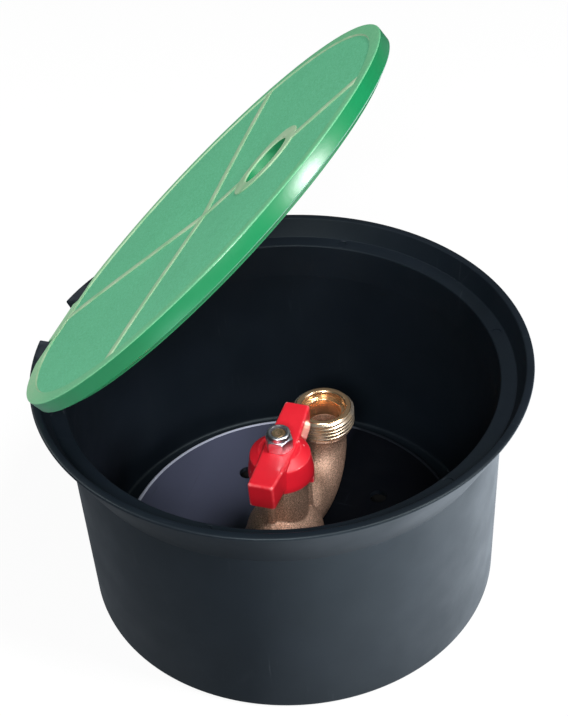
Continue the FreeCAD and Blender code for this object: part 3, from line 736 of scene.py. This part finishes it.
lidSettings = {
    "radius": 94.5, "top": 110.0, "depth": 6.0, "taper": 1.5, "relief": 0.6, "plate": 2.4,
    "skirt": 2.2, "border": 5.6, "flatX": -89.0, "crossWidth": 3.8, "crossRise": 0.45,
    "crossBevel": 0.4, "fingerRadius": 10.5, "fingerX": 38.4, "fingerRing": 5.8, "fingerCollar": 1.8,
    "spokes": 8, "spokeWidth": 1.6, "spokeGap": 0.6, "hubRadius": 4.0, "ringRadius": 89.86,
    "ringRib": 1.9, "seatGap": 0.25, "knuckleRadius": 2.7, "knuckleHalf": 13.1, "sag": 3.0,
    "sagRadius": 88.0, "sagPower": 1.25, "gridStep": 6.0, "cutLow": 90.0, "cutHigh": 120.0,
    "boreHalf": 20.0, "boreGap": 0.1, "open": 45.0, "segments": 256}


def gridCut(obj, step, reach):
    # divides long faces, so that the mesh can bend
    mesh = bmesh.new()
    mesh.from_mesh(obj.data)
    for axis in (Vector((1, 0, 0)), Vector((0, 1, 0))):
        for i in range(-int(reach / step), int(reach / step) + 1):
            bmesh.ops.bisect_plane(mesh, geom=mesh.verts[:] + mesh.edges[:] + mesh.faces[:],
                                   plane_co=axis * (i + 0.5) * step * mm, plane_no=axis)
    mesh.to_mesh(obj.data)
    mesh.free()


def sagMiddle(obj, drop, reach, power):
    # the photographed lid has dished a little
    for vert in obj.data.vertices:
        share = math.hypot(vert.co.x, vert.co.y) / (reach * mm)
        if share < 1:
            vert.co.z -= drop * mm * (1 - share) ** power


def makeLid(s, h, ledge):
    top, ring = s["top"], s["ringRadius"]
    field = top - s["relief"]
    under = field - s["plate"]
    bottom = top - s["depth"]
    inner = s["radius"] - s["border"]
    band = [(s["radius"], top, 0.6), (s["radius"] - 0.6, bottom + 0.4, 0.2),
            (s["radius"] - 1.0, bottom, 0.1)]
    outline = roundOutline([
        (0, under, 0), (0, field, 0), (inner, field, 0.15), (inner + 0.3, top, 0.2)] + band + [
        (s["radius"] - s["taper"] - s["skirt"], bottom, 0.4),
        (s["radius"] - s["skirt"] - 0.4, under, 0.3)])
    lid = lathe("lidCover", outline, s["segments"])
    seatRing = lathe("seatRing", roundOutline([
        (ring - s["ringRib"], ledge + s["seatGap"], 0.3), (ring, ledge + s["seatGap"], 0.3),
        (ring, under + overlap, 0), (ring - s["ringRib"], under + overlap, 0)]), s["segments"])
    ribBottom = bottom + s["spokeGap"]
    spokes = arrayOf("spokes", s["spokes"], (ring + s["hubRadius"]) / 2 - 1, 0,
                     (ring - s["hubRadius"], s["spokeWidth"], under + overlap - ribBottom), False,
                     (under + overlap + ribBottom) / 2, lidSide)
    hub = rod("lidHub", s["hubRadius"], (0, 0, ribBottom + 0.1), (0, 0, under + overlap), 32)
    # heights and ends below differ by a little, so that no two faces lie in one plane
    crossTop = field + s["crossRise"]
    half = s["crossWidth"] / 2
    cross = [bevelEdges(block("cross", low, high), s["crossBevel"]) for low, high in (
        ((-inner - 0.15, -half, under + 0.6), (inner + 0.15, half, crossTop)),
        ((-half, -inner - 0.15, under + 0.6), (half, inner + 0.15, crossTop - 0.02)))]
    shift = Matrix.Translation((s["fingerX"] * mm, 0, 0))
    raised = lathe("fingerRing", roundOutline([
        (0, under + 0.7, 0), (s["fingerRadius"] + s["fingerRing"], under + 0.7, 0),
        (s["fingerRadius"] + s["fingerRing"], crossTop + 0.03, 0.25), (0, crossTop + 0.03, 0)]), 96)
    collar = rod("fingerCollar", s["fingerRadius"] + s["fingerCollar"], (0, 0, ribBottom + 0.05),
                 (0, 0, under + 0.4), 72)
    place(raised, shift)
    place(collar, shift)
    combine(lid, [seatRing, spokes, hub, collar] + cross + [raised], "UNION")
    flat = block("hingeFlat", (-s["radius"] - past, -s["radius"], s["cutLow"]),
                 (s["flatX"], s["radius"], top + past))
    combine(lid, [flat], "DIFFERENCE")
    flatHalf = math.sqrt(s["radius"] ** 2 - s["flatX"] ** 2)
    blank = lathe("lidBlank", roundOutline([(0, bottom, 0), (0, top, 0)] + band), s["segments"])
    backWall = block("backWall", (s["flatX"] - 0.02, -flatHalf - 0.5, bottom),
                     (s["flatX"] + s["skirt"], flatHalf + 0.5, top - 0.03))
    combine(backWall, [blank], "INTERSECT")
    knuckle = rod("knuckle", s["knuckleRadius"], (h["x"], -s["knuckleHalf"], h["z"]),
                  (h["x"], s["knuckleHalf"], h["z"]))
    webHalf, webHeight = s["knuckleHalf"] - 0.02, s["knuckleRadius"] - 0.02
    web = block("tongue", (h["x"], -webHalf, h["z"] - webHeight),
                (s["flatX"] + s["skirt"] - 0.3, webHalf, h["z"] + webHeight))
    combine(lid, [backWall, web, knuckle], "UNION")
    bore = rod("lidBore", h["pinRadius"] + s["boreGap"], (h["x"], -s["boreHalf"], h["z"]),
               (h["x"], s["boreHalf"], h["z"]))
    hole = lathe("fingerHole", roundOutline([
        (0, s["cutLow"], 0), (s["fingerRadius"], s["cutLow"], 0),
        (s["fingerRadius"], crossTop - 0.5, 0.3), (s["fingerRadius"] + 0.6, crossTop + 0.2, 0),
        (s["fingerRadius"] + 0.6, s["cutHigh"], 0), (0, s["cutHigh"], 0)]), 96)
    place(hole, shift)
    combine(lid, [bore, hole], "DIFFERENCE")

    def chooseFinish(centre, normal):
        # 0 side, 1 grained field, 2 border, 3 pale raised lines, 4 underside
        reach = math.hypot(centre.x, centre.y)
        fingerReach = math.hypot(centre.x - s["fingerX"], centre.y)
        if reach > s["radius"] - 1.0 and centre.z < top - 0.5:
            return 0
        if centre.z < under + 0.3:
            return 4
        if fingerReach < s["fingerRadius"] + 0.1 and normal.z < 0.5:
            return 0
        if reach > inner + 0.35 or centre.x < s["flatX"] + s["skirt"]:
            return 2
        if normal.z > 0.97 and centre.z < field + 0.03:
            return 1
        return 3

    gridCut(lid, s["gridStep"], s["radius"])
    paint(lid, [lidSide, lidField, lidRaised, lidPale, lidUnder], chooseFinish)
    sagMiddle(lid, s["sag"], s["sagRadius"], s["sagPower"])
    hinge = Vector((h["x"], 0, h["z"])) * mm
    swing = Matrix.Rotation(math.radians(s["open"]), 4, (0, -1, 0))
    place(lid, Matrix.Translation(hinge) @ swing @ Matrix.Translation(-hinge))
    return soften(lid)


ledgeLevel = boxSettings["height"] - boxSettings["recessDepth"]
lid = makeLid(lidSettings, hingeSettings, ledgeLevel)
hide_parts("lid")
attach(lid, "lid")
print("lid:", len(lid.data.polygons), "faces")


# Castings: the valve's body and its handle

def castCopy(node, voxel, passes):
    # a solid's surface evened out as a casting's is, with its inner corners filled a little
    casting = solidCopy(node)
    remesh = casting.modifiers.new("even", "REMESH")
    remesh.mode = "VOXEL"
    remesh.voxel_size = voxel * mm
    smooth = casting.modifiers.new("ease", "SMOOTH")
    smooth.factor = 0.5
    smooth.iterations = passes
    settle(casting)
    casting.data.shade_smooth()
    return casting


valveSettings = {
    "voxel": 0.49, "passes": 5, "cut": 49.4, "crownRadius": 20.0, "crownTop": 70.0,
    "outletFoot": 9.45, "outletRadius": 9.4, "outletDepth": 3.2, "bore": 7.5,
    "threadRoot": 12.06, "threadTop": 13.22, "threadBottom": 51.3, "top": 61.0, "turns": 5.1,
    "pitch": 1.814, "ridgeFoot": 1.75, "ridgeCrest": 0.5, "ridgeSteps": 90}


def makeValveBody(s):
    casting = castCopy("valve_body", s["voxel"], s["passes"])
    mount = next(m for m in frame["record"]["mounts"] if m["name"] == "hose_thread")
    centre = Matrix.Translation((*mount["pos_m"][:2], 0))
    crown = place(rod("crown", s["crownRadius"], (0, 0, s["cut"]), (0, 0, s["crownTop"])), centre)
    combine(casting, [crown], "DIFFERENCE")
    paint(casting, [castBrass], lambda middle, normal: 0)
    casting.data.shade_smooth()
    outlet = lathe("outletRing", roundOutline([
        (s["bore"], s["cut"] - 1.0, 0), (s["outletFoot"], s["cut"] - 1.0, 0),
        (s["outletFoot"] + 0.15, s["cut"] + 0.1, 0.2),
        (s["threadRoot"] - 0.9, s["cut"] + 0.5, 0.5), (s["threadRoot"], s["threadBottom"], 0.2),
        (s["threadRoot"], s["top"] - 0.5, 0.1), (s["threadRoot"] - 0.4, s["top"], 0.15),
        (s["outletRadius"] + 0.5, s["top"], 0.1), (s["outletRadius"], s["top"] - 0.5, 0.1),
        (s["outletRadius"], s["top"] - s["outletDepth"], 0.2),
        (s["bore"] + 0.2, s["top"] - s["outletDepth"], 0.15),
        (s["bore"], s["top"] - s["outletDepth"] - 0.3, 0)]), 128)
    # the thread's root between the ridges takes the dark cast brass: painted shade in the grooves
    rootReach, rootTop = s["threadRoot"] - 0.3, s["top"] - 0.9
    paint(outlet, [turnedBrass, castBrass], lambda middle, normal: int(
        math.hypot(middle.x, middle.y) > rootReach and middle.z < rootTop))
    soften(outlet, 40)
    ridge = grow("threadRidge", screwThread, screwThreadInputs, {
        "Turns": s["turns"], "Pitch": s["pitch"] * mm, "Radius": (s["threadRoot"] - 0.1) * mm,
        "Depth": (s["threadTop"] - s["threadRoot"] + 0.1) * mm, "Foot": s["ridgeFoot"] * mm,
        "Crest": s["ridgeCrest"] * mm, "Steps": s["ridgeSteps"], "Bottom": s["threadBottom"] * mm,
        "Material": threadBrass})
    soften(ridge, 28)
    place(outlet, centre)
    place(ridge, centre)
    return joinPieces(casting, [outlet, ridge])


valveBody = makeValveBody(valveSettings)
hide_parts("valve_body")
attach(valveBody, "box_body")
print("valve body:", len(valveBody.data.polygons), "faces")

handleSettings = {"voxel": 0.3, "passes": 4}
handle = castCopy("handle", handleSettings["voxel"], handleSettings["passes"])
paint(handle, [redPaint], lambda centre, normal: 0)
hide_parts("handle")
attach(handle, "handle_set")
print("handle:", len(handle.data.polygons), "faces")


# Small pieces: each solid's own shape with eased edges and its finish

nutSettings = {
    "flats": 10.0, "bottom": 76.02, "hexHeight": 5.4, "footChamfer": 0.45, "topChamfer": 0.5,
    "collarRadius": 4.75, "height": 7.98, "lip": 0.4, "mouth": 3.6, "pocket": 4.12,
    "pocketDepth": 1.7, "bore": 3.05, "dimple": 1.2, "dimpleDepth": 0.7}


def makeHandleNut(s):
    corner = s["flats"] / math.sqrt(3)
    hexTop = s["bottom"] + s["hexHeight"]
    top = s["bottom"] + s["height"]
    nut = lathe("handleNut", [
        (0, s["bottom"]), (corner, s["bottom"]), (corner, hexTop), (0, hexTop)], 6)
    turnedBlank = lathe("nutBlank", roundOutline([
        (0, s["bottom"], 0), (s["flats"] / 2, s["bottom"], 0),
        (corner + 0.01, s["bottom"] + s["footChamfer"], 0.3),
        (corner + 0.01, hexTop - s["topChamfer"], 0.3), (s["flats"] / 2 - 0.1, hexTop, 0),
        (0, hexTop, 0)]), 72)
    combine(nut, [turnedBlank], "INTERSECT")
    collar = lathe("nutCollar", roundOutline([
        (0, hexTop - 1, 0), (s["collarRadius"], hexTop - 1, 0), (s["collarRadius"], top, 0.8),
        (s["mouth"], top - 0.1, 0.15), (0, top - 0.1, 0)], 6), 72)
    combine(nut, [collar], "UNION")
    pocketTop = top - s["lip"]
    pocketFoot = pocketTop - s["pocketDepth"]
    bore = lathe("nutBore", [
        (0, s["bottom"] - past), (s["bore"], s["bottom"] - past), (s["bore"], pocketFoot),
        (s["pocket"], pocketFoot), (s["pocket"], pocketTop), (s["mouth"], pocketTop),
        (s["mouth"], top + past), (0, top + past)], 72)
    combine(nut, [bore], "DIFFERENCE")
    return nut


def dimpleStem(piece, s):
    # the centre mark that turning leaves in the stem's end
    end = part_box("stem")[1][2] / mm
    mark = lathe("centreMark", [
        (0, end - s["dimpleDepth"]), (s["dimple"], end + 0.1), (0, end + 0.1)], 32)
    place(mark, Matrix.Translation((*middleOf("handle_nut"), 0)))
    combine(piece, [mark], "DIFFERENCE")


# node: body, material, slot and the width of its eased edges
smallPieces = {
    "hinge_pin": ("box_body", pinSteel, "pin_steel", 0.2),
    "inlet_elbow": ("box_body", turnedBrass, "turned_brass", 0.25),
    "body_seal": ("box_body", rubber, "seal_rubber", 0),
    "ball": ("handle_set", chrome, "ball_chrome", 0.15),
    "inlet_seat": ("box_body", seatPlastic, "seat_plastic", 0.1),
    "outlet_seat": ("box_body", seatPlastic, "seat_plastic", 0.1),
    "stem": ("handle_set", turnedBrass, "turned_brass", 0.1),
    "thrust_washer": ("box_body", seatPlastic, "seat_plastic", 0),
    "stem_o_ring": ("handle_set", rubber, "seal_rubber", 0),
    "packing_ring": ("box_body", seatPlastic, "seat_plastic", 0),
    "gland_nut": ("box_body", turnedBrass, "turned_brass", 0.2),
    "handle_nut": ("handle_set", zinc, "zinc_steel", 0.12),
    "nut_insert": ("handle_set", nylon, "insert_plastic", 0.15),
    "floor_gasket": ("box_body", rubber, "seal_rubber", 0.2),
    "floor_washer": ("box_body", zinc, "zinc_steel", 0.1),
    "backnut": ("box_body", turnedBrass, "turned_brass", 0.3)}

for node, (body, material, slotName, edge) in smallPieces.items():
    if node == "handle_nut":
        piece = place(makeHandleNut(nutSettings), Matrix.Translation((*middleOf(node), 0)))
    else:
        piece = solidCopy(node)
    if node == "stem":
        dimpleStem(piece, nutSettings)
    if edge:
        bevelEdges(piece, edge)
    paint(piece, [material], lambda centre, normal: 0)
    soften(piece)
    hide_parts(node)
    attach(piece, body)
print("small pieces:", len(smallPieces))


# Floor, light and camera: the floor's size, the lights and the camera are in metres

stageSettings = {
    "floorSize": 6.0, "floorColour": 0.82, "whiten": 0.88, "worldLight": 0.12,
    "paintedShadeRadius": 85.0, "paintedShadeColour": 0.01, "sheenColour": (0.87, 0.97, 1.08), "sheenStart": 8.0,
    "sheenEnd": 145.0, "sheenLow": 0.26, "sheenHigh": 2.7, "sheenFade": 450.0, "sheenStop": 800.0}


def seenDirectly(tree, rays):
    return mathNode(tree, "MAXIMUM", rays["Is Camera Ray"], rays["Is Transmission Ray"])


def makeStage(s):
    # pale ground with a painted shade: a dark disc inside the box's foot; to glossy rays it glows, a
    # painted sheen that brightens to the right
    mesh = bmesh.new()
    bmesh.ops.create_grid(mesh, x_segments=1, y_segments=1, size=s["floorSize"] / 2)
    floor = linkMesh("studioFloor", mesh)
    material = bpy.data.materials.new("studioFloor")
    material.use_nodes = True
    tree = material.node_tree
    shader = tree.nodes["Principled BSDF"]
    shader.inputs["Roughness"].default_value = 0.9
    rays = addNode(tree, "ShaderNodeLightPath").outputs
    coords = objectCoords(tree)
    reach = addNode(tree, "ShaderNodeVectorMath", [(0, coords)], operation="LENGTH").outputs["Value"]
    # painted shade: the ground is near black under the box, where its shadow falls
    beside = mathNode(tree, "GREATER_THAN", reach, s["paintedShadeRadius"] * mm)
    ground = blendColour(tree, beside, (s["paintedShadeColour"],) * 3, (s["floorColour"],) * 3)
    tree.links.new(ground, shader.inputs["Base Color"])
    split = addNode(tree, "ShaderNodeSeparateXYZ", [(0, coords)])
    # painted sheen: to glossy rays the floor glows up to 2.7 times white towards +X with a cool tint,
    # brighter than the lamps make it
    rightward = mapRange(tree, split.outputs[0], s["sheenStart"] * mm, s["sheenEnd"] * mm,
                         s["sheenLow"], s["sheenHigh"])
    seen = mathNode(tree, "MULTIPLY", seenDirectly(tree, rays), s["whiten"])
    seen = mathNode(tree, "MAXIMUM", seen, rays["Is Glossy Ray"])
    share = mathNode(tree, "MULTIPLY", seen, beside)
    nearby = mapRange(tree, reach, s["sheenFade"] * mm, s["sheenStop"] * mm, 1.0, 0.1)
    sheen = mathNode(tree, "MULTIPLY", rightward, nearby)
    strength = addNode(tree, "ShaderNodeMix", [
        ("Factor", rays["Is Glossy Ray"]), ("A", 1.0), ("B", sheen)])
    tint = blendColour(tree, rays["Is Glossy Ray"], (1, 1, 1), s["sheenColour"])
    glow = addNode(tree, "ShaderNodeEmission", [
        ("Color", tint), ("Strength", strength.outputs["Result"])])
    mixed = addNode(tree, "ShaderNodeMixShader", [
        (0, share), (1, shader.outputs[0]), (2, glow.outputs[0])])
    tree.links.new(mixed.outputs[0], tree.nodes["Material Output"].inputs["Surface"])
    floor.data.materials.append(material)
    world = bpy.data.worlds.new("studio")
    bpy.context.scene.world = world
    world.use_nodes = True
    tree = world.node_tree
    background = tree.nodes["Background"]
    seen = seenDirectly(tree, addNode(tree, "ShaderNodeLightPath").outputs)
    background.inputs["Color"].default_value = (1, 1, 1, 1)
    tree.links.new(mapRange(tree, seen, 0.0, 1.0, s["worldLight"]), background.inputs["Strength"])


def addLight(name, position, target, size, power):
    light = bpy.data.lights.new(name, "AREA")
    light.shape = "RECTANGLE"
    light.size, light.size_y = size
    light.energy = power
    obj = bpy.data.objects.new(name, light)
    bpy.context.scene.collection.objects.link(obj)
    obj.location = position
    obj.rotation_euler = (Vector(target) - Vector(position)).to_track_quat("-Z", "Y").to_euler()


def addCamera(s):
    # the camera looks at the rim's centre, then is nudged by small turns; focal is in pixels
    yaw, rise = math.radians(s["yaw"]), s["elevation"]
    target = Vector((0, 0, boxSettings["height"] * mm))
    away = Vector((math.sin(yaw) * math.cos(rise), -math.cos(yaw) * math.cos(rise), math.sin(rise)))
    forward = -away
    right = forward.cross(Vector((0, 0, 1))).normalized()
    up = right.cross(forward)
    turn = Matrix.Rotation(s["pan"], 3, up)
    forward, right = turn @ forward, turn @ right
    turn = Matrix.Rotation(s["tilt"], 3, right)
    forward, up = turn @ forward, turn @ up
    turn = Matrix.Rotation(s["roll"], 3, forward)
    right, up = turn @ right, turn @ up
    camera = bpy.data.objects.new("camera", bpy.data.cameras.new("camera"))
    bpy.context.scene.collection.objects.link(camera)
    camera.matrix_world = Matrix.Translation(target + away * s["distance"]) @ Matrix(
        (right, up, -forward)).transposed().to_4x4()
    camera.data.sensor_width = s["sensor"]
    camera.data.lens = s["focal"] / s["longSide"] * s["sensor"]
    camera.data.clip_start = 0.01
    bpy.context.scene.camera = camera


makeStage(stageSettings)
lights = {
    "key": {"position": (0.5, -0.04, 1.2), "target": (0, 0, 0.06),
            "size": (0.3, 0.3), "power": 9.5},
    "right": {"position": (1.04, -0.13, 0.65), "target": (0, 0, 0.15),
              "size": (0.24, 0.24), "power": 9},
    "front": {"position": (0.26, -1.05, 0.95), "target": (0, 0, 0.08),
              "size": (0.3, 0.3), "power": 15.5},
    "left": {"position": (-1.0, 0.0, 0.95), "target": (0, 0, 0.15),
             "size": (0.7, 0.7), "power": 8.3}}
for name, light in lights.items():
    addLight(name, **light)
cameraSettings = {"yaw": 19.76, "elevation": 0.6883, "distance": 0.6, "pan": -0.0021, "tilt": -0.0014,
                  "roll": 0.0669, "focal": 1516.0, "longSide": 716.0, "sensor": 36.0}
addCamera(cameraSettings)
bpy.context.scene.view_settings.view_transform = "Standard"
print("stage, lights and camera set")
